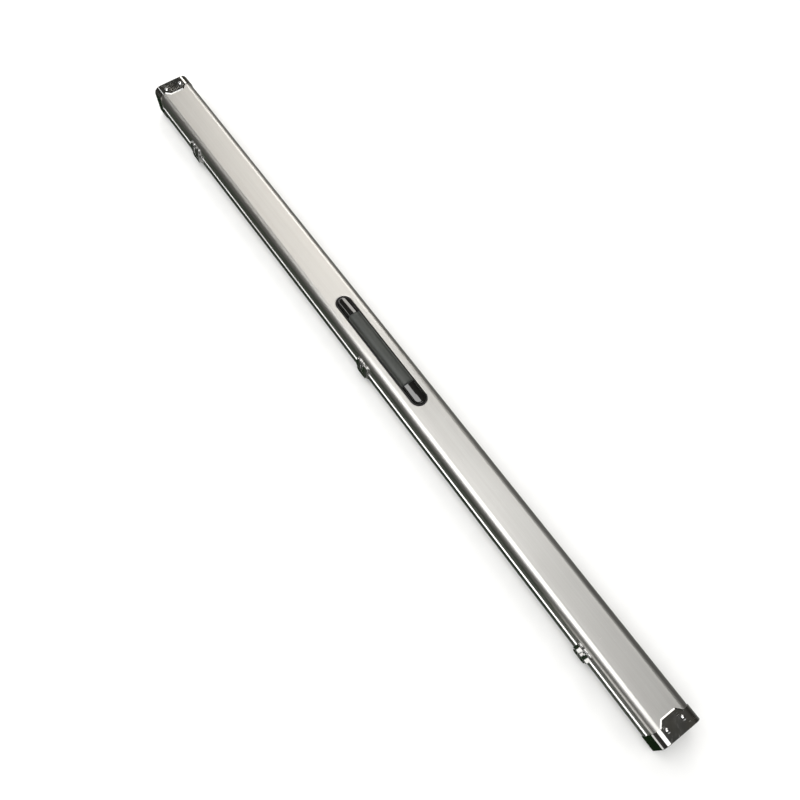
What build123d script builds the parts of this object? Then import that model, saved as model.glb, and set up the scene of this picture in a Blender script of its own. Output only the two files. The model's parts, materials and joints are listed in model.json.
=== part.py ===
from build123d import *
import os

# Slim aluminium case for a two-piece snooker cue, in millimetres.
# X runs along the case, the latches are on the front (-Y), the hinges on the rear (+Y), the lid is on top (+Z).
# The origin is the centre of the underside. Inside a half, "side" is +1 for the lid and -1 for the base.

# The case
case_length = 1200.0
shell_width = 56.0
shell_height = 52.0
corner_radius = 10.0
shell_sheet = 1.2
cap_sheet = 1.0
half_gap = 0.15                                   # each half stands this far off the seam plane

seam_z = cap_sheet + shell_height / 2
wall_y = shell_width / 2
shell_length = case_length - 2 * cap_sheet
top_z = seam_z + shell_height / 2
inner_top = shell_height / 2 - shell_sheet        # from the seam to the inside of the lid's top

# The edge extrusions that stiffen the seam
rim_web = 1.2
rim_leg = 1.0
rim_leg_height = 4.0
bead_out = 2.0
bead_height = 2.6
bead_slope = 0.7                                  # how much lower the bead's top is at its outer edge
bead_round = 0.9
bead_end_gap = 0.3                                # between the beads and the end caps
bead_hinge_gap = 1.5                              # between the beads and the hinges
tongue_gap = 0.3
tongue_sheet = 0.8
tongue_height = 2.4

# The chrome end caps
cap_top_reach = 27.0
cap_side_reach = 19.5
cap_flat_width = 21.6
cap_edge_round = 0.9
cap_bevel = (1.6, 0.9)                            # run and drop of the front edge's bevel on the flat
cap_rivet_inset = 13.3
cap_rivet_y = 12.2
cap_rivet_head = 3.35
cap_rivet_dome = 1.4
cap_rivet_shank = 1.6
cap_rivet_tail = (2.6, 0.9)                       # radius and height inside the case

# Rivets that hold the hinges and latches
rivet_shank = 1.2
rivet_head = 1.8
rivet_head_height = 0.7
rivet_tail_height = 0.8
rivet_tail = 1.6

# Hinges and latches share their stations along the case
stations = {"left": -468.0, "middle": 0.0, "right": 468.0}

hinge_length = 40.0
hinge_sheet = 1.0
hinge_reach = 13.5                                # how far a leaf runs from the seam
knuckle_radius = 2.35
knuckle_count = 5
knuckle_gap = 0.3
hinge_pin_radius = 1.2
hinge_axis_out = 2.75                             # from the wall to the pin's axis
hinge_wrap = 0.5                                  # from the knuckles to the flat part of a leaf
hinge_web = (0.4, 1.6)                            # a knuckle's web, up from the seam
hinge_rivet_x = 13.0
hinge_rivet_up = 9.0
running_gap = 0.05

latch_half_width = 12.0
latch_sheet = 1.0
latch_plate_low = -14.0
latch_plate_high = -3.0
lever_axis = (2.7, -5.5)                          # out from the wall, up from the seam
claw_axis = (2.4, -9.0)
lever_pin_radius = 0.7
claw_pin_radius = 0.7
latch_eye = 1.2                                   # radius of the metal round each latch pin
lever_face = (4.2, 5.1)                           # the lever's outer plate, out from the wall
lever_low = -13.0
lever_high = -4.4
lever_half_width = 10.0
lever_corner = 5.0
lever_bevel = 0.35
base_ear_x = (6.0, 7.0)
lever_ear_x = (7.4, 8.4)
claw_arm_x = (10.6, latch_half_width)
claw_sheet = 0.9
claw_bends = [(3.7, -2.6), (4.2, 1.0)]            # the inner face, out from the wall and up from the seam
prong_out = 2.1                                   # the inner face again, where the strips end
hook_tip = 1.35
prong_x = (2.7, latch_half_width)
prong_corner = 1.8
finger_half_width = 1.5
finger_top = 9.0
ledge_top = 15.2
ledge_out = 1.9
ledge_sheet = 1.0
hook_gap = 0.2                                    # between the prongs and the keeper's ledge
keeper_low = 3.2
keeper_top = 15.9
latch_rivet_x = {1: 8.0, -1: 4.0}                 # in the lid and in the base
latch_rivet_up = {1: 8.6, -1: -11.6}

# The carrying handle, recessed in the lid
recess_length = 203.0
recess_width = 23.4
recess_edge_round = 1.0
recess_gap = 0.2                                  # between the lid's sheet and the tray
tray_flange = 4.0                                 # how far the tray's flange runs under the lid
tray_lip = 0.3                                    # how far the tray stands above the lid
tray_lip_round = 0.25
backing_sheet = 1.0
tray_wall = 1.8
tray_floor_z = top_z - 7.8
tray_sheet = 1.0
grip_length = 130.0
grip_width = 18.0
grip_height = 11.0
grip_proud = 7.0
strap_length = 176.0
strap_width = 12.0
strap_sheet = 1.2
strap_slot_gap = 0.4
strap_slide = 4.5                                 # the room for each end of the strap in its cap
handle_cap_inner = 66.5
handle_cap_outer = 99.0
handle_cap_width = 17.6
handle_cap_proud = 5.0
handle_cap_crown = (20.0, 300.0)                  # radius of the caps' top across the case and along it
handle_cap_round = 3.5
screw_radius = 1.5
screw_places = (76.0, 90.0)                       # from the middle of the case
screw_head = (2.8, 1.4)                           # radius and height
screw_reach = 4.8                                 # into the end caps, from the tray's floor

# The foam, all of it covered in flocked cloth
foam_length = 1192.0
foam_half_width = 25.4
foam_skin_gap = 0.3                               # between the foam and the bends of the shells
foam_floor_z = cap_sheet + shell_sheet + 1.1
channel_floor_z = 7.0
base_foam_top = seam_z - 2.0
strip_width = 2.3
divider_width = 2.0
shaft_tip_width = 15.0
shaft_wide_width = 26.5
butt_channel_end = -182.0
filler_end = 180.0
shaft_channel_end = 484.0
cross_wall_length = 6.0
lid_foam_low = seam_z + 9.2
lid_foam_top = seam_z + inner_top - 1.1
lid_foam_centre_top = 41.0
lid_foam_centre_half = 108.0


def block(x, y, z):
    """A box from its two limits along each axis."""
    size = [high - low for low, high in (x, y, z)]
    middle = [(high + low) / 2 for low, high in (x, y, z)]
    return Pos(*middle) * Box(*size)


def along_x(section, low, high):
    """A section drawn in Y and Z, run along X from low to high."""
    return Pos(low, 0, 0) * extrude(Plane.YZ * section, high - low)


def wall_place(side_y, out, up):
    """A point in Y and Z from its distance out from a wall and up from the seam. side_y is -1 at the front."""
    return (side_y * (wall_y + out), seam_z + up)


def wall_section(side_y, points):
    """A filled outline of (out, up) points beside the front or rear wall."""
    return make_face(Polyline(*[wall_place(side_y, out, up) for out, up in points], close=True))


def wall_disc(side_y, out, up, radius):
    """A disc across X at a place beside a wall."""
    return Pos(*wall_place(side_y, out, up)) * Circle(radius)


def outline(offset):
    """The case's rounded cross-section, grown by offset."""
    return Pos(0, seam_z) * RectangleRounded(
        shell_width + 2 * offset, shell_height + 2 * offset, corner_radius + offset
    )


def half_ring(side, outer, inner, edge):
    """The lid's or the base's half of the ring between two outlines, from edge beyond the seam."""
    reach = shell_height
    keep = Pos(0, seam_z + side * (edge + reach / 2)) * Rectangle(2 * shell_width, reach)
    return (outline(outer) - outline(inner)) & keep


def flat_stadium(length, width, low, high):
    """An upright plate with round ends, centred on the origin."""
    return Pos(0, 0, low) * extrude(SlotOverall(length, width), high - low)


# Rivets ------------------------------------------------------------------------------------------

def wall_rivet(side_y, x, up, plate):
    """A domed rivet through a plate and a side wall, upset inside."""
    y_in, z = wall_place(side_y, -shell_sheet - rivet_tail_height, up)
    turn = Rot(90, 0, 0) if side_y < 0 else Rot(-90, 0, 0)
    tail = Pos(0, 0, rivet_tail_height / 2) * Cylinder(rivet_tail, rivet_tail_height)
    grip = rivet_tail_height + shell_sheet + plate
    shank = Pos(0, 0, grip / 2) * Cylinder(rivet_shank, grip)
    dome = Pos(0, 0, grip) * domed_head(rivet_head, rivet_head_height)
    return Pos(x, y_in, z) * turn * (tail + shank + dome)


def domed_head(radius, height):
    """A low domed head that stands on the XY plane."""
    ball = (radius ** 2 + height ** 2) / (2 * height)
    cap = Pos(0, 0, height - ball) * Sphere(ball)
    return cap & (Pos(0, 0, height) * Box(4 * radius, 4 * radius, 2 * height))


def shank_hole(side_y, x, up):
    """The hole that a wall rivet's shank fills."""
    y, z = wall_place(side_y, 0, up)
    return Pos(x, y, z) * Rot(90, 0, 0) * Cylinder(rivet_shank, 8)


def lid_cap_rivet(x, y):
    """A domed rivet down through an end cap and the lid's top."""
    head = Pos(0, 0, top_z + cap_sheet) * domed_head(cap_rivet_head, cap_rivet_dome)
    grip = shell_sheet + cap_sheet
    shank = Pos(0, 0, top_z + cap_sheet - grip / 2) * Cylinder(cap_rivet_shank, grip)
    radius, height = cap_rivet_tail
    tail = Pos(0, 0, seam_z + inner_top - height / 2) * Cylinder(radius, height)
    return Pos(x, y, 0) * (head + shank + tail)


def base_cap_rivet(x, y):
    """A countersunk rivet up through an end cap and the base's floor, flush underneath."""
    head = Pos(0, 0, cap_sheet / 2) * Cone(cap_rivet_head, cap_rivet_shank, cap_sheet)
    shank = Pos(0, 0, cap_sheet + shell_sheet / 2) * Cylinder(cap_rivet_shank, shell_sheet)
    radius, height = cap_rivet_tail
    tail = Pos(0, 0, cap_sheet + shell_sheet + height / 2) * Cylinder(radius, height)
    return Pos(x, y, 0) * (head + shank + tail)


def cap_rivet_places():
    """Two rivets at each end of a half."""
    x = case_length / 2 - cap_rivet_inset
    return [(sx * x, sy * cap_rivet_y) for sx in (-1, 1) for sy in (-1, 1)]


def wall_rivet_places(side):
    """(front or rear, x, up) of every rivet in a half's side walls, the latches' first."""
    latch = [(-1, x + s * latch_rivet_x[side], latch_rivet_up[side])
             for x in stations.values() for s in (-1, 1)]
    hinge = [(1, x + s * hinge_rivet_x, side * hinge_rivet_up)
             for x in stations.values() for s in (-1, 1)]
    return latch, hinge


# Shells, rims and end caps ------------------------------------------------------------------------

def shell(side):
    """The folded sheet of one half: a flat with two rounded bends and two side walls."""
    body = along_x(half_ring(side, 0, -shell_sheet, half_gap + rim_web), -shell_length / 2, shell_length / 2)
    for places in wall_rivet_places(side):
        for side_y, x, up in places:
            body -= shank_hole(side_y, x, up)
    flat_z = seam_z + side * shell_height / 2
    for x, y in cap_rivet_places():
        body -= Pos(x, y, flat_z) * Cylinder(cap_rivet_shank, 8)
    if side > 0:
        body -= flat_stadium(recess_length + 2 * recess_gap, recess_width + 2 * recess_gap,
                             seam_z + inner_top - shell_sheet, top_z + shell_sheet)
        reach = recess_width
        edge = body.edges().group_by(Axis.Z)[-1].filter_by_position(
            Axis.X, -recess_length / 2 - reach, recess_length / 2 + reach
        ).filter_by_position(Axis.Y, -recess_width / 2 - 1, recess_width / 2 + 1)
        body = fillet(edge, recess_edge_round)
    return body


def rim(side, side_y):
    """The extrusion along one edge of a half: a web under the sheet, an inner leg and an outer bead."""
    low = half_gap
    web_top = half_gap + rim_web
    leg_in = shell_sheet + rim_leg
    profile = [(0, low), (-leg_in, low), (-leg_in, rim_leg_height), (-shell_sheet, rim_leg_height),
               (-shell_sheet, web_top), (0, web_top)]
    if side < 0 and side_y < 0:
        tongue_out = -leg_in - tongue_gap
        tongue_in = tongue_out - tongue_sheet
        profile = [(0, low), (tongue_out, low), (tongue_out, -tongue_height), (tongue_in, -tongue_height),
                   (tongue_in, web_top), (-leg_in, web_top), (-leg_in, rim_leg_height),
                   (-shell_sheet, rim_leg_height), (-shell_sheet, web_top), (0, web_top)]
    strip = along_x(wall_section(side_y, [(out, side * up) for out, up in profile]),
                    -shell_length / 2, shell_length / 2)
    bead_end = case_length / 2 - cap_side_reach - bead_end_gap
    bead_face = wall_section(side_y, [(0, side * low), (bead_out, side * low),
                                      (bead_out, side * (bead_height - bead_slope)), (0, side * bead_height)])
    outer_corner = max(bead_face.vertices(), key=lambda v: abs(v.X) + abs(v.Y - seam_z))
    bead_face = fillet(outer_corner, bead_round)
    bead = along_x(bead_face, -bead_end, bead_end)
    if side_y > 0:
        for x in stations.values():
            half = hinge_length / 2 + bead_hinge_gap
            bead -= block((x - half, x + half), (wall_y, wall_y + 2 * bead_out), (0, 2 * seam_z))
    return strip + bead


def edge_bevel(side, length):
    """A bar along Y that planes a sheet's edge: the edge faces -X and its upper corner is at the origin."""
    run, drop = cap_bevel
    over = cap_sheet
    section = [(-over, -drop * (run + over) / run), (run, 0), (run, over), (-over, over)]
    return extrude(Plane.XZ * make_face(Polyline(*[(x, side * z) for x, z in section], close=True)),
                   length / 2, both=True)


def end_cap(side, end):
    """A pressed cap over one end of a half, with its front edge chamfered back to the side walls."""
    outer_end = case_length / 2
    sleeve = along_x(half_ring(side, cap_sheet, 0, half_gap), outer_end - 30, outer_end)
    plate_section = outline(cap_sheet) & (
        Pos(0, seam_z + side * (half_gap + shell_height)) * Rectangle(200, 2 * shell_height)
    )
    plate = along_x(plate_section, outer_end - cap_sheet, outer_end)
    body = sleeve + plate
    flat = cap_flat_width / 2
    step = cap_top_reach - cap_side_reach
    front = outer_end - cap_top_reach
    reach = Polyline((front, -flat), (front, flat), (front + step, flat + step), (front + step, 60),
                     (outer_end + 5, 60), (outer_end + 5, -60), (front + step, -60),
                     (front + step, -flat - step), close=True)
    body = body & extrude(make_face(reach), 4 * shell_height)
    end_edges = body.edges().filter_by_position(Axis.X, outer_end - 0.01, outer_end + 0.01)
    body = fillet([e for e in end_edges if abs(e.center().Z - seam_z) > half_gap + 0.1], cap_edge_round)
    face_z = seam_z + side * (shell_height / 2 + cap_sheet)
    body -= Pos(front, 0, face_z) * edge_bevel(side, 4 * flat)
    for s in (-1, 1):
        corner = Pos(front + step / 2, s * (flat + step / 2), face_z) * Rot(0, 0, -45 * s)
        body -= corner * edge_bevel(side, step * 2 ** 0.5)
    if side > 0:
        hole = Pos(0, 0, top_z) * Cylinder(cap_rivet_shank, 8)
    else:
        hole = Pos(0, 0, cap_sheet / 2) * Cone(cap_rivet_head, cap_rivet_shank, cap_sheet)
    for y in (-cap_rivet_y, cap_rivet_y):
        body -= Pos(outer_end - cap_rivet_inset, y, 0) * hole
    return body if end > 0 else mirror(body, Plane.YZ)


# Hinges -------------------------------------------------------------------------------------------

def knuckles(x, side):
    """The X limits of a leaf's knuckles. The base leaf holds the odd ones, the lid leaf the even ones."""
    pitch = hinge_length / knuckle_count
    first = 0 if side < 0 else 1
    return [(x - hinge_length / 2 + n * pitch + knuckle_gap / 2,
             x - hinge_length / 2 + (n + 1) * pitch - knuckle_gap / 2)
            for n in range(first, knuckle_count, 2)]


def hinge_leaf(x, side):
    """A leaf on the rear wall, with its knuckles round the pin."""
    clear = knuckle_radius + hinge_wrap
    web_low, web_high = hinge_web
    leaf = along_x(wall_section(1, [(0, side * clear), (hinge_sheet, side * clear),
                                    (hinge_sheet, side * hinge_reach), (0, side * hinge_reach)]),
                   x - hinge_length / 2, x + hinge_length / 2)
    bore = hinge_pin_radius + (running_gap if side > 0 else 0)
    for low, high in knuckles(x, side):
        web = wall_section(1, [(0, side * web_low), (hinge_axis_out, side * web_low),
                               (hinge_axis_out, side * web_high), (hinge_sheet, side * clear), (0, side * clear)])
        barrel = wall_disc(1, hinge_axis_out, 0, knuckle_radius)
        hole = wall_disc(1, hinge_axis_out, 0, bore)
        leaf += along_x((web + barrel) - hole, low, high)
    for s in (-1, 1):
        leaf -= shank_hole(1, x + s * hinge_rivet_x, side * hinge_rivet_up)
    return leaf


def hinge_pin(x):
    """The pin, as long as the knuckles and held by the base leaf."""
    return along_x(wall_disc(1, hinge_axis_out, 0, hinge_pin_radius),
                   x - hinge_length / 2, x + hinge_length / 2)


# Latches ------------------------------------------------------------------------------------------

def both_sides(section, x, limits):
    """The same plate on both sides of a latch."""
    low, high = limits
    return along_x(section, x + low, x + high) + along_x(section, x - high, x - low)


def latch_plate(x):
    """The plate riveted to the base, with two ears for the lever's pin."""
    out, up = lever_axis
    plate = along_x(wall_section(-1, [(0, latch_plate_low), (latch_sheet, latch_plate_low),
                                      (latch_sheet, latch_plate_high), (0, latch_plate_high)]),
                    x - latch_half_width, x + latch_half_width)
    root = latch_sheet / 2
    ear = wall_section(-1, [(root, up - 2 * latch_eye), (out, up - latch_eye),
                            (out, up + latch_eye), (root, up + latch_eye)])
    ear = (ear + wall_disc(-1, *lever_axis, latch_eye)) - wall_disc(-1, *lever_axis, lever_pin_radius)
    plate += both_sides(ear, x, base_ear_x)
    for s in (-1, 1):
        plate -= shank_hole(-1, x + s * latch_rivet_x[-1], latch_rivet_up[-1])
    return plate


def latch_lever(x):
    """The lever: an outer plate with a rounded end that the finger lifts, and two ears on the lever's pin."""
    out, up = lever_axis
    claw_out, claw_up = claw_axis
    face_in, face_out = lever_face
    face_section = wall_section(-1, [(face_in, lever_low), (face_in, lever_high),
                                     (face_out - lever_bevel, lever_high + lever_bevel),
                                     (face_out, lever_high - lever_bevel),
                                     (face_out, lever_low + lever_bevel), (face_out - lever_bevel, lever_low)])
    lever = along_x(face_section, x - lever_half_width, x + lever_half_width)
    height = 2 * (lever_high + lever_bevel - lever_low)
    tongue = Pos(x, seam_z + lever_low + height / 2) * RectangleRounded(2 * lever_half_width, height, lever_corner)
    lever = lever & extrude(Plane.XZ.offset(wall_y) * tongue, 2 * face_out)
    root = (face_in + face_out) / 2
    ear = wall_section(-1, [(out, up + latch_eye), (root, up), (root, claw_up - 2 * latch_eye),
                            (claw_out, claw_up - latch_eye), (claw_out - latch_eye, claw_up),
                            (out - latch_eye, up)])
    ear = ear + wall_disc(-1, *lever_axis, latch_eye) + wall_disc(-1, *claw_axis, latch_eye)
    ear -= wall_disc(-1, *lever_axis, lever_pin_radius + running_gap)
    ear -= wall_disc(-1, *claw_axis, claw_pin_radius)
    return lever + both_sides(ear, x, lever_ear_x)


def claw_face(top):
    """The (out, up) points up the inner face of a claw's bent sheet."""
    return claw_bends + [(prong_out, top)]


def claw_back(top):
    """The points down its outer face."""
    return [(out + claw_sheet, up) for out, up in reversed(claw_face(top))]


def chamfered_tip(x, limits):
    """An upright prism over the plan of a prong, with the two corners of its hooked tip cut off."""
    low, high = limits
    cut = prong_corner
    behind = lever_face[1] + cut
    plan = [(low + cut, hook_tip), (low, hook_tip + cut), (low, behind), (high, behind),
            (high, hook_tip + cut), (high - cut, hook_tip)]
    corners = [(x + along, -wall_y - out) for along, out in plan]
    return extrude(make_face(Polyline(*corners, close=True)), 2 * seam_z, both=True)


def latch_claw(x):
    """The claw: two arms on the claw pin, a bridge, two hooked prongs and a shorter middle finger."""
    claw_out, claw_up = claw_axis
    foot = claw_bends[0]
    arm = wall_section(-1, [(claw_out - claw_sheet, claw_up), foot, (foot[0] + claw_sheet, foot[1]),
                            (claw_out + latch_eye, claw_up)])
    arm += wall_disc(-1, *claw_axis, latch_eye)
    arm -= wall_disc(-1, *claw_axis, claw_pin_radius + running_gap)
    bridge = wall_section(-1, claw_bends + claw_back(finger_top)[1:])
    finger = wall_section(-1, claw_face(finger_top) + claw_back(finger_top))
    hook = ledge_top + hook_gap
    tip = [(hook_tip, hook), (hook_tip, hook + claw_sheet), (prong_out + claw_sheet / 2, hook + claw_sheet)]
    prong = wall_section(-1, claw_face(hook) + tip + claw_back(hook))
    claw = both_sides(arm, x, claw_arm_x)
    claw += along_x(bridge, x - latch_half_width, x + latch_half_width)
    claw += along_x(finger, x - finger_half_width, x + finger_half_width)
    low, high = prong_x
    for limits in ((low, high), (-high, -low)):
        claw += along_x(prong, x + limits[0], x + limits[1]) & chamfered_tip(x, limits)
    return claw


def latch_keeper(x):
    """The plate on the lid with the ledge that the prongs hook over."""
    section = wall_section(-1, [(0, keeper_low), (latch_sheet, keeper_low), (latch_sheet, ledge_top - ledge_sheet),
                                (ledge_out, ledge_top - ledge_sheet), (ledge_out, ledge_top),
                                (latch_sheet, ledge_top), (latch_sheet, keeper_top), (0, keeper_top)])
    keeper = along_x(section, x - latch_half_width, x + latch_half_width)
    for s in (-1, 1):
        keeper -= shank_hole(-1, x + s * latch_rivet_x[1], latch_rivet_up[1])
    return keeper


def latch_pin(x, axis, radius, half_length):
    """A plain pin across a latch."""
    return along_x(wall_disc(-1, *axis, radius), x - half_length, x + half_length)


# Handle -------------------------------------------------------------------------------------------



def handle_tray():
    """The moulded recess: a stadium cup with a flange under the lid's sheet."""
    flange_top = seam_z + inner_top
    cup = flat_stadium(recess_length, recess_width, tray_floor_z - tray_sheet, top_z + tray_lip)
    cup = fillet(cup.edges().group_by(Axis.Z)[-1], tray_lip_round)
    flange = flat_stadium(recess_length + 2 * tray_flange, recess_width + 2 * tray_flange,
                          flange_top - tray_sheet, flange_top)
    inside = flat_stadium(recess_length - 2 * tray_wall, recess_width - 2 * tray_wall,
                          tray_floor_z, top_z + 2 * tray_lip)
    tray = (cup + flange) - inside
    for sx in (-1, 1):
        for x in screw_places:
            tray -= Pos(sx * x, 0, tray_floor_z) * Cylinder(screw_radius, 8)
    return tray


def handle_backing_plate():
    """The steel strip under the recess that spreads the screws' load."""
    top = tray_floor_z - tray_sheet
    plate = flat_stadium(recess_length - 4, recess_width - 6, top - backing_sheet, top)
    for sx in (-1, 1):
        for x in screw_places:
            plate -= Pos(sx * x, 0, top) * Cylinder(screw_radius, 8)
    return plate


def handle_end_cap(end):
    """A glossy bullet-shaped cap over one end of the strap, with the slot that the strap slides in."""
    radius = handle_cap_width / 2
    cap_top = top_z + handle_cap_proud
    length = handle_cap_outer - handle_cap_inner
    plan = Pos(handle_cap_inner + (length - radius) / 2, 0) * Rectangle(length - radius, handle_cap_width)
    plan += Pos(handle_cap_outer - radius, 0) * Circle(radius)
    body = Pos(0, 0, tray_floor_z) * extrude(plan, cap_top - tray_floor_z)
    crown, fall = handle_cap_crown
    dome = Pos(handle_cap_inner, 0, cap_top - fall) * Rot(90, 0, 0) * Torus(fall - crown, crown)
    body = body & dome
    top_edges = body.faces().sort_by(Axis.Z)[-1].edges()
    body = fillet([e for e in top_edges if e.center().X > handle_cap_inner + 0.5], handle_cap_round)
    strap_z = strap_low()
    slot = strap_width / 2 + strap_slot_gap
    body -= block((handle_cap_inner - 1, strap_length / 2 + strap_slide), (-slot, slot),
                  (strap_z - strap_slot_gap, strap_z + strap_sheet + strap_slot_gap))
    for x in screw_places:
        body -= Pos(x, 0, tray_floor_z) * Cylinder(screw_radius, 10)
    return body if end > 0 else mirror(body, Plane.YZ)


def handle_screws():
    """The screws from inside the lid up into the end caps."""
    under = tray_floor_z - tray_sheet - backing_sheet
    tip = tray_floor_z + screw_reach
    head_radius, head_height = screw_head
    screws = []
    for sx in (-1, 1):
        for x in screw_places:
            shank = Pos(0, 0, (under + tip) / 2) * Cylinder(screw_radius, tip - under)
            head = Pos(0, 0, under - head_height / 2) * Cylinder(head_radius, head_height)
            screws.append(Pos(sx * x, 0, 0) * (shank + head))
    return screws


def strap_low():
    """The underside of the steel strap, through the middle of the grip."""
    return top_z + grip_proud - grip_height / 2 - strap_sheet / 2


def handle_strap():
    """The spring-steel strap that runs from one end cap to the other."""
    low = strap_low()
    half = strap_width / 2
    return block((-strap_length / 2, strap_length / 2), (-half, half), (low, low + strap_sheet))


def handle_grip():
    """The rubber sleeve on the strap, crowned across its top."""
    low = top_z + grip_proud - grip_height
    half = grip_width / 2
    section = make_face(
        Polyline((-half, low + 6.5), (-half, low + 2.5), (-half + 2.5, low), (half - 2.5, low),
                 (half, low + 2.5), (half, low + 6.5))
        + ThreePointArc((half, low + 6.5), (0, low + grip_height), (-half, low + 6.5))
    )
    grip = along_x(section, -grip_length / 2, grip_length / 2)
    z = strap_low()
    return grip - block((-80, 80), (-strap_width / 2, strap_width / 2), (z, z + strap_sheet))


# Foam ---------------------------------------------------------------------------------------------

def foam_pieces():
    """Every block and strip of foam, by node name."""
    half = foam_length / 2
    edge = foam_half_width
    inner = edge - strip_width
    wide_channel = -inner + shaft_wide_width
    channel = (channel_floor_z, base_foam_top)
    divider = -inner + shaft_tip_width
    lid = (lid_foam_low, lid_foam_top)
    cross = shaft_channel_end + cross_wall_length
    centre = lid_foam_centre_half
    room = along_x(outline(-shell_sheet - foam_skin_gap), -half, half)
    blocks = {
        "base_foam_floor": block((-half, half), (-edge, edge), (foam_floor_z, channel_floor_z)),
        "base_foam_wall_front": block((-half, half), (-edge, -inner), channel),
        "base_foam_wall_rear": block((-half, half), (inner, edge), channel),
        "base_foam_divider": block((-half, butt_channel_end), (divider, divider + divider_width), channel),
        "base_foam_filler": block((butt_channel_end + 4, filler_end), (wide_channel, inner), channel),
        "base_foam_pocket_wall": block((filler_end, shaft_channel_end),
                                       (wide_channel, wide_channel + divider_width), channel),
        "base_foam_cross_wall": block((shaft_channel_end, cross), (-inner, inner), channel),
        "lid_foam_left": block((-half, -centre), (-edge, edge), lid),
        "lid_foam_centre": block((-centre, centre), (-edge, edge), (lid_foam_low, lid_foam_centre_top)),
        "lid_foam_right": block((centre, half), (-edge, edge), lid),
    }
    return {name: piece & room for name, piece in blocks.items()}


# The whole case -----------------------------------------------------------------------------------

def build():
    """Every node of the case by name."""
    nodes = {}
    for side, half in ((1, "lid"), (-1, "base")):
        nodes[f"{half}_shell"] = shell(side)
        nodes[f"{half}_rim_front"] = rim(side, -1)
        nodes[f"{half}_rim_rear"] = rim(side, 1)
        for end, name in ((-1, "left"), (1, "right")):
            nodes[f"{half}_end_cap_{name}"] = end_cap(side, end)
        cap_rivet = lid_cap_rivet if side > 0 else base_cap_rivet
        nodes[f"{half}_cap_rivets"] = [cap_rivet(x, y) for x, y in cap_rivet_places()]
        latch, hinge = wall_rivet_places(side)
        nodes[f"{half}_latch_rivets"] = [wall_rivet(*place, latch_sheet) for place in latch]
        nodes[f"{half}_hinge_rivets"] = [wall_rivet(*place, hinge_sheet) for place in hinge]
    for name, x in stations.items():
        nodes[f"hinge_{name}_lid_leaf"] = hinge_leaf(x, 1)
        nodes[f"hinge_{name}_base_leaf"] = hinge_leaf(x, -1)
        nodes[f"hinge_{name}_pin"] = hinge_pin(x)
        nodes[f"latch_{name}_base_plate"] = latch_plate(x)
        nodes[f"latch_{name}_lever"] = latch_lever(x)
        nodes[f"latch_{name}_lever_pin"] = latch_pin(x, lever_axis, lever_pin_radius, lever_ear_x[1])
        nodes[f"latch_{name}_claw"] = latch_claw(x)
        nodes[f"latch_{name}_claw_pin"] = latch_pin(x, claw_axis, claw_pin_radius, claw_arm_x[1])
        nodes[f"latch_{name}_keeper"] = latch_keeper(x)
    nodes["handle_tray"] = handle_tray()
    nodes["handle_backing_plate"] = handle_backing_plate()
    nodes["handle_end_cap_left"] = handle_end_cap(-1)
    nodes["handle_end_cap_right"] = handle_end_cap(1)
    nodes["handle_screws"] = handle_screws()
    nodes["handle_strap"] = handle_strap()
    nodes["handle_grip"] = handle_grip()
    nodes.update(foam_pieces())
    return nodes


def main():
    os.makedirs("parts", exist_ok=True)
    for name, shape in build().items():
        solids = [s for item in (shape if isinstance(shape, list) else [shape]) for s in item.solids()]
        export_step(Compound(children=solids) if len(solids) > 1 else solids[0], f"parts/{name}.step")


main()
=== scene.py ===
import json
import math

import bpy
from mathutils import Matrix, Vector, noise

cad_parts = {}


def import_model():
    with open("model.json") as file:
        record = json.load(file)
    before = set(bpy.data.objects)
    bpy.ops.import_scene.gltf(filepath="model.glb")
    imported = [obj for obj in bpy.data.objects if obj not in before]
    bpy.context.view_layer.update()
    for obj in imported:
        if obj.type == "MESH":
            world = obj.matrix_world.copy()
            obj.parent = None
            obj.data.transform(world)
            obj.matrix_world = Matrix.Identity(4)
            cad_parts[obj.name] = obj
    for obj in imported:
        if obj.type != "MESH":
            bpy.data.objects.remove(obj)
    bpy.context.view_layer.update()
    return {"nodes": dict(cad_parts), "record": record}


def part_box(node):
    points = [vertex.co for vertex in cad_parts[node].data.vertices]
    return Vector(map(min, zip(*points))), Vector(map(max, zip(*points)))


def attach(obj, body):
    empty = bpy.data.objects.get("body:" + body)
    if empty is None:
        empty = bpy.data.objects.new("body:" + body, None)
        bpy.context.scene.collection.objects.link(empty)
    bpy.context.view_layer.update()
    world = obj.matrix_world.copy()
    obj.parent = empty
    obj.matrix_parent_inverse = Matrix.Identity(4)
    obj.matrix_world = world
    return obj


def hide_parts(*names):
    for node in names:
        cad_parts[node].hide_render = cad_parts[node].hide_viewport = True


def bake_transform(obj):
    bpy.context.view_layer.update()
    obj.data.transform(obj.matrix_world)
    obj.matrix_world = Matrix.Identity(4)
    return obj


# The looks of the cue case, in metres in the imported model's frame: X along the case, the latches at -Y, Z up.

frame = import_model()

MM = 0.001

# Sizes repeated from the CAD, in millimetres
SHELL_WIDTH = 56.0
SHELL_HEIGHT = 52.0
SEAM_Z = 27.0
CORNER_RADIUS = 10.0
LINING_GAP = 1.5                 # from the outside of the shells to the foam

# Handle, in millimetres
STRAP_WIDTH = 12.0
STRAP_SHEET = 1.2
STRAP_Z = 54.5                   # the middle of the strap's thickness
STRAP_END = 88.0
GRIP_END = 65.0
GRIP_WIDTH = 18.0
GRIP_LOW = 49.0
GRIP_TOP = 60.0
GRIP_SHOULDER = 55.3             # where the flat sides turn into the crown
GRIP_ROUND = 2.6                 # radius of the lower edges
GRIP_EDGE = 1.0                  # radius of the rounding at the grip's ends
CROWN_POWER = 0.9                # under 1 makes the crown fuller than an ellipse


# Material nodes ---------------------------------------------------------------------------------

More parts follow.
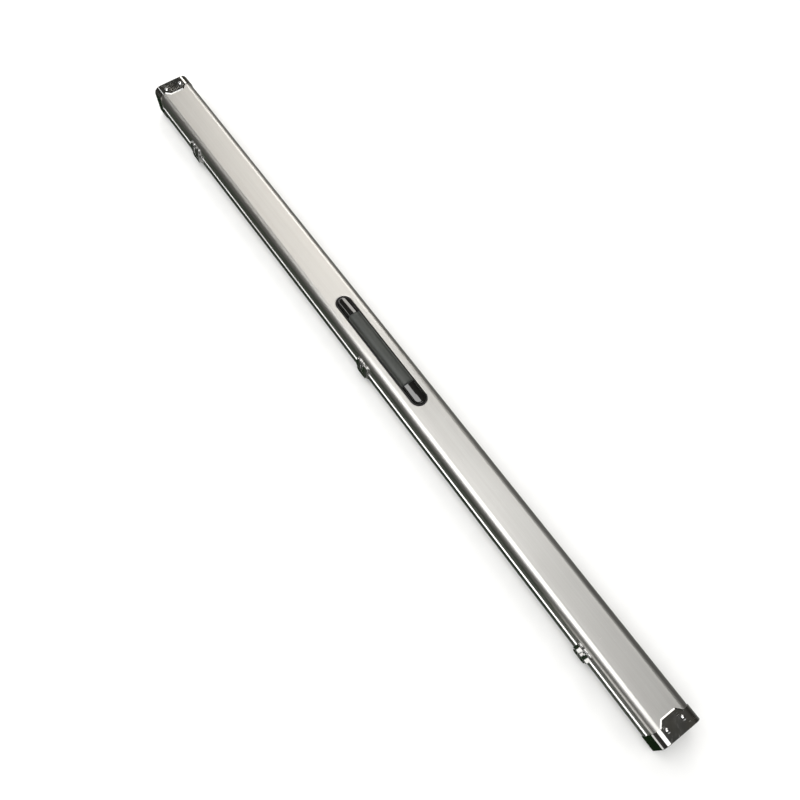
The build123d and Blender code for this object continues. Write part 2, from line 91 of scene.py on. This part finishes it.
def add(tree, kind, inputs=None, **settings):
    """A node of one kind, with its settings, and each input's value or the socket that feeds it."""
    made = tree.nodes.new(kind)
    for name, value in settings.items():
        setattr(made, name, value)
    for key, value in (inputs or {}).items():
        if isinstance(value, bpy.types.NodeSocket):
            tree.links.new(value, made.inputs[key])
        else:
            made.inputs[key].default_value = value
    return made


def material(name, inputs):
    """A new material with one Principled node. inputs are its plain values."""
    made = bpy.data.materials.new(name)
    made.use_nodes = True
    made.node_tree.nodes.clear()
    shader = add(made.node_tree, "ShaderNodeBsdfPrincipled", inputs)
    add(made.node_tree, "ShaderNodeOutputMaterial", {"Surface": shader.outputs[0]})
    return made, made.node_tree, shader


def pattern(tree, scale, detail, **inputs):
    """Noise over the piece's own coordinates, with scale waves a metre along X, Y and Z."""
    place = add(tree, "ShaderNodeTexCoord")
    stretched = add(tree, "ShaderNodeMapping", {"Vector": place.outputs["Object"], "Scale": scale})
    return add(tree, "ShaderNodeTexNoise", {
        "Vector": stretched.outputs[0], "Scale": 1.0, "Detail": detail, **inputs}).outputs[0]


def spread(tree, source, low, high, start=0.3, end=0.7):
    """source's values from start to end, turned into values from low to high."""
    return add(tree, "ShaderNodeMapRange", {
        "Value": source, "From Min": start, "From Max": end, "To Min": low, "To Max": high}).outputs[0]


MIX_COLOURS = (6, 7)             # a Mix node's two colour inputs
MIX_RESULT = 2                   # and its colour output


def blend_colours(tree, factor, first, second):
    """A colour between first and second, each a colour or the socket that feeds it."""
    mixed = add(tree, "ShaderNodeMix", {"Factor": factor}, data_type="RGBA")
    for place, value in zip(MIX_COLOURS, (first, second)):
        socket = mixed.inputs[place]
        if isinstance(value, bpy.types.NodeSocket):
            tree.links.new(value, socket)
        else:
            socket.default_value = (*value, 1.0)
    return mixed.outputs[MIX_RESULT]


def math_node(tree, operation, *values):
    """The result of one Math node on numbers or sockets."""
    return add(tree, "ShaderNodeMath", dict(enumerate(values)), operation=operation).outputs[0]


def drive(tree, shader, **sockets):
    """Feeds the shader's sockets, named with underscores in place of spaces."""
    for name, source in sockets.items():
        tree.links.new(source, shader.inputs[name.replace("_", " ")])


def bump(tree, source, strength, depth):
    """A bump from source, depth metres deep."""
    return add(tree, "ShaderNodeBump", {"Height": source, "Strength": strength, "Distance": depth}).outputs[0]


SCRATCH_PATCH = (60, 60, 60)     # how finely the scratched places are spread over a piece
SCRATCH_FADE = 0.1               # the noise's rise from an unscratched place to a scratched one


def scratches(tree, scale, turn, width, thin):
    """Straight scratches, turned about Z: 1 on a scratch and 0 off it. A higher thin leaves fewer of them."""
    place = add(tree, "ShaderNodeTexCoord")
    turned = add(tree, "ShaderNodeMapping", {
        "Vector": place.outputs["Object"], "Rotation": (0, 0, turn), "Scale": scale})
    cells = add(tree, "ShaderNodeTexVoronoi", {"Vector": turned.outputs[0], "Scale": 1.0},
                feature="DISTANCE_TO_EDGE")
    line = spread(tree, cells.outputs["Distance"], 1.0, 0.0, 0.0, width)
    patches = pattern(tree, SCRATCH_PATCH, 2.0)
    kept = spread(tree, patches, 0.0, 1.0, thin, thin + SCRATCH_FADE)
    return math_node(tree, "MULTIPLY", line, kept)


# Materials --------------------------------------------------------------------------------------

def brushed_aluminium():
    """Satin sheet, brushed along the case."""
    made, tree, shader = material("brushed_aluminium", {"Metallic": 1.0, "Anisotropic": 0.55})
    fine = pattern(tree, (9, 1500, 1500), 3.0)
    broad = pattern(tree, (2.5, 260, 260), 4.0)
    cloudy = pattern(tree, (14, 30, 30), 3.0)
    lines = math_node(tree, "ADD", fine, broad)
    tone = blend_colours(tree, spread(tree, lines, 0.0, 1.0, 0.75, 1.25),
                         (0.795, 0.78, 0.755), (0.845, 0.835, 0.81))
    marks = scratches(tree, (40, 300, 300), 0.05, 0.012, 0.55)
    worn = blend_colours(tree, marks, tone, (0.93, 0.92, 0.9))
    rough = math_node(tree, "ADD", spread(tree, lines, 0.335, 0.37, 0.75, 1.25),
                      spread(tree, cloudy, -0.012, 0.015))
    drive(tree, shader, Base_Color=worn, Roughness=rough, Normal=bump(tree, lines, 0.25, 0.00004),
          Tangent=add(tree, "ShaderNodeTangent", direction_type="RADIAL", axis="X").outputs["Tangent"])
    return made


def rim_aluminium():
    """Bright extrusion, drawn along the case."""
    made, tree, shader = material("rim_aluminium", {"Metallic": 1.0})
    drawn = pattern(tree, (6, 1200, 1200), 3.0)
    dull = pattern(tree, (25, 60, 60), 4.0)
    drive(tree, shader,
          Base_Color=blend_colours(tree, spread(tree, drawn, 0.0, 1.0),
                                   (0.80, 0.80, 0.79), (0.93, 0.93, 0.92)),
          Roughness=spread(tree, dull, 0.16, 0.32),
          Normal=bump(tree, drawn, 0.2, 0.00004))
    return made


SCRATCH_ROUGHNESS = 0.3          # added to the plating's where it is scratched


def chrome(name, dark, light, gloss, smudged):
    """Plated metal between two colours. gloss and smudged are the roughness where clean and where handled."""
    made, tree, shader = material(name, {"Metallic": 1.0})
    hands = pattern(tree, (70, 70, 70), 5.0, Roughness=0.65, Distortion=1.2)
    tint = pattern(tree, (38, 38, 38), 2.0)
    marks = scratches(tree, (240, 90, 240), 0.6, 0.02, 0.52)
    handled = spread(tree, hands, gloss, smudged, 0.42, 0.72)
    rough = math_node(tree, "ADD", handled, math_node(tree, "MULTIPLY", marks, SCRATCH_ROUGHNESS))
    drive(tree, shader,
          Base_Color=blend_colours(tree, spread(tree, tint, 0.0, 1.0, 0.35, 0.65), dark, light),
          Roughness=rough, Normal=bump(tree, hands, 0.12, 0.0001))
    return made


# In metres, like the coordinates that the material reads
LATCH_PITCH = 0.468              # from one latch to the next along the case
PRONG_MIDDLE = 0.0074            # from the middle of a latch to the middle of a prong
PRONG_HALF = 0.0046              # half of a prong's width
PRONG_RISE = 0.0011              # how far a prong's pressed face bulges
PRONG_SLOPE = -0.22              # and how it leans in towards its tip


def latch_chrome():
    """Bright plated strip, pressed so that each prong bulges across its width."""
    made, tree, shader = material("latch_chrome", {"Metallic": 1.0})
    place = add(tree, "ShaderNodeTexCoord")
    along, _, up = add(tree, "ShaderNodeSeparateXYZ", {0: place.outputs["Object"]}).outputs
    from_latch = math_node(tree, "PINGPONG", along, LATCH_PITCH / 2)
    from_prong = math_node(tree, "SUBTRACT", from_latch, PRONG_MIDDLE)
    square = math_node(tree, "MULTIPLY", from_prong, from_prong)
    bulge = spread(tree, square, PRONG_RISE, 0.0, 0.0, PRONG_HALF ** 2)
    sloped = math_node(tree, "MULTIPLY_ADD", up, PRONG_SLOPE, bulge)
    hands = pattern(tree, (90, 90, 90), 5.0, Roughness=0.65)
    pressed = add(tree, "ShaderNodeBump", {"Height": sloped, "Strength": 1.0, "Distance": 1.0}).outputs[0]
    marked = add(tree, "ShaderNodeBump", {
        "Height": hands, "Strength": 0.12, "Distance": 0.0001, "Normal": pressed}).outputs[0]
    drive(tree, shader,
          Base_Color=blend_colours(tree, spread(tree, hands, 0.0, 1.0),
                                   (0.88, 0.89, 0.90), (0.95, 0.94, 0.93)),
          Roughness=spread(tree, hands, 0.1, 0.22), Normal=marked)
    return made


def steel(name, dark, light, low, high, grain):
    """Plain steel between two colours and two roughnesses, with grain as the pattern's scale."""
    made, tree, shader = material(name, {"Metallic": 1.0})
    drawn = pattern(tree, grain, 4.0)
    drive(tree, shader,
          Base_Color=blend_colours(tree, spread(tree, drawn, 0.0, 1.0), dark, light),
          Roughness=spread(tree, drawn, low, high),
          Normal=bump(tree, drawn, 0.2, 0.00005))
    return made


def gloss_black():
    """Polished black moulding with dust and hairline scratches."""
    made, tree, shader = material("gloss_black", {"IOR": 2.4})
    dust = pattern(tree, (900, 900, 900), 2.0)
    marks = scratches(tree, (500, 180, 300), 0.3, 0.015, 0.55)
    drive(tree, shader,
          Base_Color=blend_colours(tree, spread(tree, dust, 0.0, 1.0, 0.68, 0.8),
                                   (0.002, 0.002, 0.002), (0.012, 0.012, 0.0115)),
          Roughness=spread(tree, marks, 0.06, 0.3, 0.0, 1.0))
    return made


def tray_black():
    """Black moulding with a spark-eroded texture."""
    made, tree, shader = material("tray_black", {"IOR": 1.5})
    grain = pattern(tree, (1400, 1400, 1400), 2.0)
    drive(tree, shader,
          Base_Color=blend_colours(tree, spread(tree, grain, 0.0, 1.0, 0.45, 0.75),
                                   (0.003, 0.003, 0.003), (0.016, 0.016, 0.015)),
          Roughness=spread(tree, grain, 0.32, 0.55),
          Normal=bump(tree, grain, 0.6, 0.0001))
    return made


def grip_rubber():
    """Matte grey-black rubber, a little polished by hands."""
    made, tree, shader = material("grip_rubber", {"IOR": 1.6, "Sheen Weight": 0.15, "Sheen Roughness": 0.5})
    grain = pattern(tree, (1100, 1100, 1100), 3.0)
    wear = pattern(tree, (25, 90, 90), 4.0)
    drive(tree, shader,
          Base_Color=blend_colours(tree, spread(tree, wear, 0.0, 1.0),
                                   (0.020, 0.023, 0.020), (0.034, 0.038, 0.033)),
          Roughness=spread(tree, wear, 0.34, 0.46),
          Normal=bump(tree, grain, 0.35, 0.00012))
    return made


def flocked_foam():
    """Black flocked cloth over foam."""
    made, tree, shader = material("flocked_foam", {
        "Sheen Weight": 0.7, "Sheen Roughness": 0.35, "Sheen Tint": (0.5, 0.5, 0.55, 1.0), "IOR": 1.4})
    pile = pattern(tree, (1600, 1600, 1600), 2.0)
    nap = pattern(tree, (35, 60, 60), 4.0)
    drive(tree, shader,
          Base_Color=blend_colours(tree, spread(tree, nap, 0.0, 1.0),
                                   (0.016, 0.016, 0.018), (0.034, 0.034, 0.037)),
          Roughness=spread(tree, pile, 0.8, 1.0),
          Normal=bump(tree, pile, 0.8, 0.0004))
    return made


MATERIALS = {
    "brushed_aluminium": brushed_aluminium(),
    "rim_aluminium": rim_aluminium(),
    "chrome": chrome("chrome", (0.60, 0.61, 0.62), (0.70, 0.68, 0.63), 0.06, 0.2),
    "rivet_chrome": chrome("rivet_chrome", (0.82, 0.83, 0.85), (0.90, 0.89, 0.88), 0.05, 0.14),
    "rivet_steel": chrome("rivet_steel", (0.66, 0.66, 0.67), (0.78, 0.77, 0.75), 0.16, 0.3),
    "latch_chrome": latch_chrome(),
    "hinge_nickel": chrome("hinge_nickel", (0.60, 0.59, 0.57), (0.74, 0.73, 0.70), 0.2, 0.36),
    "pin_steel": steel("pin_steel", (0.46, 0.46, 0.46), (0.66, 0.66, 0.65), 0.25, 0.4, (20, 900, 900)),
    "zinc_steel": steel("zinc_steel", (0.50, 0.53, 0.56), (0.72, 0.74, 0.76), 0.22, 0.4, (40, 700, 700)),
    "gloss_black": gloss_black(),
    "tray_black": tray_black(),
    "grip_rubber": grip_rubber(),
    "flocked_foam": flocked_foam(),
}


def finish_cad_nodes():
    """Gives every CAD node the material of its slot in the record."""
    for part in frame["record"]["subparts"]:
        node = frame["nodes"][part["node"]]
        for place in node.material_slots:
            place.material = MATERIALS[part["material_slot"]]


# Meshes -----------------------------------------------------------------------------------------

SHARP_ANGLE = math.radians(40)   # faces that meet at more than this keep a hard edge
LEAST_RADIUS = 0.05
CORNER_STEPS = 5                 # points round a quarter turn


def loft(name, rings, slot):
    """A closed piece through rings of points, all in millimetres, with its material and its slot."""
    count = len(rings[0])
    points = [Vector(p) * MM for ring in rings for p in ring]
    faces = [(r * count + k, r * count + (k + 1) % count,
              (r + 1) * count + (k + 1) % count, (r + 1) * count + k)
             for r in range(len(rings) - 1) for k in range(count)]
    last = (len(rings) - 1) * count
    faces += [tuple(reversed(range(count))), tuple(range(last, last + count))]
    mesh = bpy.data.meshes.new(name)
    mesh.from_pydata(points, [], faces)
    mesh.update()
    mesh.materials.append(MATERIALS[slot])
    mesh.shade_smooth()
    mesh.set_sharp_from_angle(angle=SHARP_ANGLE)
    piece = bpy.data.objects.new(name, mesh)
    bpy.context.scene.collection.objects.link(piece)
    return piece


def rounded_ring(x, y, z, radius, shrink):
    """Points round a rectangle in Y and Z with rounded corners, shrunk all round. y and z are its limits."""
    y_low, y_high = y
    z_low, z_high = z
    drawn_in = max(radius - shrink, LEAST_RADIUS)
    corners = [(y_high, z_low, -90), (y_high, z_high, 0), (y_low, z_high, 90), (y_low, z_low, 180)]
    ring = []
    for corner_y, corner_z, first in corners:
        centre_y = corner_y - math.copysign(radius, corner_y - (y_low + y_high) / 2)
        centre_z = corner_z - math.copysign(radius, corner_z - (z_low + z_high) / 2)
        for k in range(CORNER_STEPS):
            angle = math.radians(first + 90 * k / (CORNER_STEPS - 1))
            ring.append((x, centre_y + drawn_in * math.cos(angle), centre_z + drawn_in * math.sin(angle)))
    return ring


ROUND_ANGLES = (0, 25, 50, 75)   # degrees round a rounded end, up to where the straight begins


def stations_along(low, high, step, edge):
    """Places from low to high about step apart, with extra ones that round both ends off over edge."""
    plain = high - low - 2 * edge
    count = max(2, round(plain / step))
    ends = [edge * (1 - math.cos(math.radians(angle))) for angle in ROUND_ANGLES]
    places = [low + end for end in ends]
    places += [low + edge + plain * k / count for k in range(count + 1)]
    places += [high - end for end in reversed(ends)]
    return places


def end_shrink(x, low, high, edge):
    """How far a ring near an end draws in, for an end rounded with radius edge."""
    near = min(x - low, high - x)
    if near >= edge:
        return 0.0
    return edge - math.sqrt(max(edge ** 2 - (edge - near) ** 2, 0.0))


def inside_shell(y, z):
    """y, moved in where the rounded corner between a shell's wall and its flat leaves less room."""
    half = SHELL_WIDTH / 2 - LINING_GAP
    radius = CORNER_RADIUS - LINING_GAP
    flat = SHELL_HEIGHT / 2 - LINING_GAP
    beyond = abs(z - SEAM_Z) - (flat - radius)
    if beyond > 0:
        half -= radius - math.sqrt(max(radius ** 2 - beyond ** 2, 0.0))
    return max(-half, min(half, y))


FOAM_ROUND = 0.9                 # radius of a pad's edges
FOAM_STEP = 6.0                  # between two rings along a pad
FOAM_DENT = 0.35                 # the deepest dent
DENT_LENGTH = 23.0               # the size of the dents along the case
DENT_WIDTH = 9.0                 # and across it


def foam_pad(node, body):
    """A soft block in place of one CAD block, inside it, with rounded edges and an uneven surface."""
    low, high = [Vector(v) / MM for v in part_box(node)]
    rings = []
    for x in stations_along(low.x, high.x, FOAM_STEP, FOAM_ROUND):
        shrink = end_shrink(x, low.x, high.x, FOAM_ROUND)
        ring = []
        for px, py, pz in rounded_ring(x, (low.y, high.y), (low.z, high.z), FOAM_ROUND, shrink):
            waves = noise.noise(Vector((px / DENT_LENGTH, py / DENT_WIDTH, pz / DENT_WIDTH)))
            dent = FOAM_DENT * (0.5 + 0.5 * waves)
            py += math.copysign(min(dent, (high.y - low.y) / 4), (low.y + high.y) / 2 - py)
            pz += math.copysign(dent, (low.z + high.z) / 2 - pz)
            ring.append((px, inside_shell(py, pz), pz))
        rings.append(ring)
    pad = loft(f"{node}_pad", rings, "flocked_foam")
    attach(pad, body)
    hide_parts(node)


def foam():
    """Every foam pad, each on the body of its CAD node."""
    for body, nodes in frame["record"]["behaviour"]["bodies"].items():
        for node in nodes:
            if "_foam_" in node:
                foam_pad(node, body)


LOWER_STEPS = 8                  # faces round one lower edge of the grip
CROWN_STEPS = 24                 # and over its crown
GRIP_RINGS = 20                  # rings in the straight of half a grip
GRIP_END_ANGLES = (0, 20, 40, 60, 90)   # degrees round the rounding at its end


def grip_ring(x, shrink):
    """The grip's outline at x: flat sides, rounded lower edges and a crowned top."""
    half = GRIP_WIDTH / 2 - shrink
    low = GRIP_LOW + shrink
    crown = GRIP_TOP - shrink - GRIP_SHOULDER

    def lower_edge(side, first):
        points = []
        for k in range(LOWER_STEPS + 1):
            angle = math.radians(first + 90 * k / LOWER_STEPS)
            points.append((x, side * (half - GRIP_ROUND) + GRIP_ROUND * math.cos(angle),
                           low + GRIP_ROUND + GRIP_ROUND * math.sin(angle)))
        return points

    ring = lower_edge(1, -90)
    for k in range(CROWN_STEPS + 1):
        angle = math.radians(180 * k / CROWN_STEPS)
        across = math.copysign(abs(math.cos(angle)) ** CROWN_POWER, math.cos(angle))
        ring.append((x, half * across, GRIP_SHOULDER + crown * math.sin(angle)))
    return ring + lower_edge(-1, 180)


def bending(piece, node):
    """Bakes the piece's place into its mesh, and hides the CAD node it stands for."""
    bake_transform(piece)
    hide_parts(node)


def grip_half(end, name):
    """Half of the rubber grip, from the middle of the case to one end."""
    straight = GRIP_END - GRIP_EDGE
    places = [straight + GRIP_EDGE * math.cos(math.radians(angle)) for angle in GRIP_END_ANGLES]
    places += [straight * (1 - k / GRIP_RINGS) for k in range(1, GRIP_RINGS + 1)]
    rings = [grip_ring(end * x, end_shrink(x, -GRIP_END, GRIP_END, GRIP_EDGE)) for x in places]
    if end > 0:
        rings.reverse()
    piece = loft(f"grip_{name}", rings, "grip_rubber")
    bending(piece, "handle_grip")


STRAP_ROUND = 0.4                # radius of the strap's edges
STRAP_STEP = 2.0                 # between two rings along it


def strap_half(end, name):
    """Half of the steel strap, from one end to the middle of the case."""
    y = (-STRAP_WIDTH / 2, STRAP_WIDTH / 2)
    z = (STRAP_Z - STRAP_SHEET / 2, STRAP_Z + STRAP_SHEET / 2)
    places = [STRAP_END - STRAP_STEP * k for k in range(round(STRAP_END / STRAP_STEP) + 1)]
    rings = [rounded_ring(end * x, y, z, STRAP_ROUND, 0.0) for x in places]
    if end > 0:
        rings.reverse()
    piece = loft(f"strap_{name}", rings, "zinc_steel")
    bending(piece, "handle_strap")


def handle():
    """The grip and the strap, each in two halves that meet in the middle."""
    for end, name in ((-1, "left"), (1, "right")):
        grip_half(end, name)
        strap_half(end, name)


# Stage ------------------------------------------------------------------------------------------

FLOOR_HALF = 30.0                # half of the floor's width
CEILING = 2.05                   # height of the soft lights
BACKDROP = (0.86, 0.86, 0.855)   # what the camera sees behind everything
PALE_WALL = (0.55, 0.55, 0.54)   # what the metal sees past the case's ends, and in part behind it

# Colours of the lights
NEUTRAL = (1.0, 1.0, 0.99)
SUNLIT = (1.0, 0.975, 0.93)
WARM = (1.0, 0.93, 0.85)
CARD_COLOUR = (1.0, 0.98, 0.95)


def floor():
    """A plain pale floor. Reflections pass it and see the dark ground of the world, as over a dark cloth."""
    corners = [(x * FLOOR_HALF, y * FLOOR_HALF, 0) for x, y in ((-1, -1), (1, -1), (1, 1), (-1, 1))]
    mesh = bpy.data.meshes.new("floor")
    mesh.from_pydata(corners, [], [(0, 1, 2, 3)])
    made, tree, shader = material("floor", {"Roughness": 0.9, "Specular IOR Level": 0.1})
    speckle = pattern(tree, (40, 40, 40), 3.0)
    drive(tree, shader, Base_Color=blend_colours(
        tree, spread(tree, speckle, 0.0, 1.0), BACKDROP, (0.88, 0.88, 0.875)))
    mesh.materials.append(made)
    piece = bpy.data.objects.new("floor", mesh)
    piece.visible_glossy = False
    bpy.context.scene.collection.objects.link(piece)


def softbox(name, x, y, radiance, colour):
    """A soft light in the ceiling, facing down, between two limits in X and in Y. radiance is its face's."""
    lamp = bpy.data.lights.new(name, "AREA")
    lamp.shape = "RECTANGLE"
    lamp.size = x[1] - x[0]
    lamp.size_y = y[1] - y[0]
    lamp.energy = radiance * math.pi * lamp.size * lamp.size_y
    lamp.color = colour
    piece = bpy.data.objects.new(name, lamp)
    piece.location = (sum(x) / 2, sum(y) / 2, CEILING)
    piece.visible_camera = False
    bpy.context.scene.collection.objects.link(piece)
    return piece


FILL_STRENGTH = 2.2
FILL_ANGLE = math.radians(150)


def floor_fill():
    """A broad sun that lights the floor and the dull pieces and leaves no reflection in the metal."""
    lamp = bpy.data.lights.new("floor_fill", "SUN")
    lamp.energy = FILL_STRENGTH
    lamp.angle = FILL_ANGLE
    fill = bpy.data.objects.new("floor_fill", lamp)
    fill.visible_glossy = False
    bpy.context.scene.collection.objects.link(fill)


CARD_HALF = 0.6                  # half of the card's width and height
CARD_PLACE = (1.05, -1.5, -0.9)


def lights():
    """Panels of light. The flat chrome of the caps reflects the dark gap between the front and rear ones."""
    softbox("front_panel", (-1.0, 1.1), (-1.75, 0.28), 1.9, NEUTRAL)
    softbox("front_lamp", (-0.9, 0.3), (-0.7, -0.3), 2.6, NEUTRAL)
    softbox("far_lamp", (-3.2, -1.0), (-1.0, -0.65), 1.6, NEUTRAL)
    softbox("middle_panel", (-0.35, 0.1), (0.28, 0.45), 2.0, NEUTRAL)
    softbox("rear_far", (-3.6, -1.0), (0.8, 2.0), 2.35, SUNLIT)
    softbox("warm_window", (-1.7, -1.2), (0.73, 1.35), 2.6, WARM)
    floor_fill()
    # Under the level of the floor, upright and facing the case, so that only reflections see it
    card = softbox("low_card", (-CARD_HALF, CARD_HALF), (-CARD_HALF, CARD_HALF), 1.1, CARD_COLOUR)
    card.location = CARD_PLACE
    card.rotation_euler = (math.radians(90), 0, 0)


# The room's colour from straight down, at 0, to straight up, at 1. The horizon is at 0.5.
ROOM_COLOURS = [(0.0, (0.008, 0.018, 0.007)), (0.2, (0.012, 0.022, 0.011)), (0.3, (0.045, 0.047, 0.042)),
                (0.5, (0.06, 0.058, 0.053)), (0.6, (0.05, 0.048, 0.044)), (0.75, (0.03, 0.029, 0.026)),
                (0.9, (0.06, 0.058, 0.052)), (1.0, (0.075, 0.074, 0.068))]
BEHIND_PALE = 0.3                # how much of the pale wall is mixed in behind the case


def world():
    """A dim room with dark green ground, and paler walls low down behind the case and past its ends."""
    made = bpy.data.worlds.new("room")
    made.use_nodes = True
    tree = made.node_tree
    tree.nodes.clear()
    place = add(tree, "ShaderNodeTexCoord")
    along, across, up = add(tree, "ShaderNodeSeparateXYZ", {0: place.outputs["Generated"]}).outputs
    ramp = add(tree, "ShaderNodeValToRGB", {0: spread(tree, up, 0.0, 1.0, -1.0, 1.0)})
    while len(ramp.color_ramp.elements) < len(ROOM_COLOURS):
        ramp.color_ramp.elements.new(0.5)
    for element, (position, colour) in zip(ramp.color_ramp.elements, ROOM_COLOURS):
        element.position = position
        element.color = (*colour, 1.0)
    rear = spread(tree, across, 0.0, 1.0, 0.2, 0.5)
    under_horizon = spread(tree, up, BEHIND_PALE, 0.0, -0.3, -0.15)
    over_ground = spread(tree, up, 0.0, 1.0, -0.75, -0.6)
    behind = math_node(tree, "MULTIPLY", math_node(tree, "MULTIPLY", rear, under_horizon), over_ground)
    ends = spread(tree, math_node(tree, "ABSOLUTE", along), 0.0, 1.0, 0.8, 0.92)
    pale = math_node(tree, "MAXIMUM", behind, ends)
    lit = blend_colours(tree, pale, ramp.outputs[0], PALE_WALL)
    seen = add(tree, "ShaderNodeLightPath").outputs["Is Camera Ray"]
    shade = add(tree, "ShaderNodeBackground", {
        "Color": blend_colours(tree, seen, lit, BACKDROP), "Strength": 1.0})
    add(tree, "ShaderNodeOutputWorld", {"Surface": shade.outputs[0]})
    bpy.context.scene.world = made


CAMERA_PLACE = Vector((0.440, -0.296, 1.037))
CAMERA_AIM = Vector((0.07817, -0.02235, 0.053))
CAMERA_LENS = 36.51              # the lens and the sensor are in millimetres
SENSOR_WIDTH = 36.0
CAMERA_ROLL = math.radians(1.9725)
NEAREST_SEEN = 0.01


def camera():
    """The camera above the case, turned a little about its own line of sight."""
    lens = bpy.data.cameras.new("camera")
    lens.lens = CAMERA_LENS
    lens.sensor_width = SENSOR_WIDTH
    lens.clip_start = NEAREST_SEEN
    piece = bpy.data.objects.new("camera", lens)
    forward = (CAMERA_AIM - CAMERA_PLACE).normalized()
    level = forward.cross(Vector((0, 0, 1))).normalized()
    upright = level.cross(forward)
    right = math.cos(CAMERA_ROLL) * level + math.sin(CAMERA_ROLL) * upright
    up = math.cos(CAMERA_ROLL) * upright - math.sin(CAMERA_ROLL) * level
    turn = Matrix((right, up, -forward)).transposed().to_4x4()
    piece.matrix_world = Matrix.Translation(CAMERA_PLACE) @ turn
    bpy.context.scene.collection.objects.link(piece)
    bpy.context.scene.camera = piece


finish_cad_nodes()
foam()
handle()
floor()
lights()
world()
camera()
bpy.context.scene.view_settings.view_transform = "Standard"
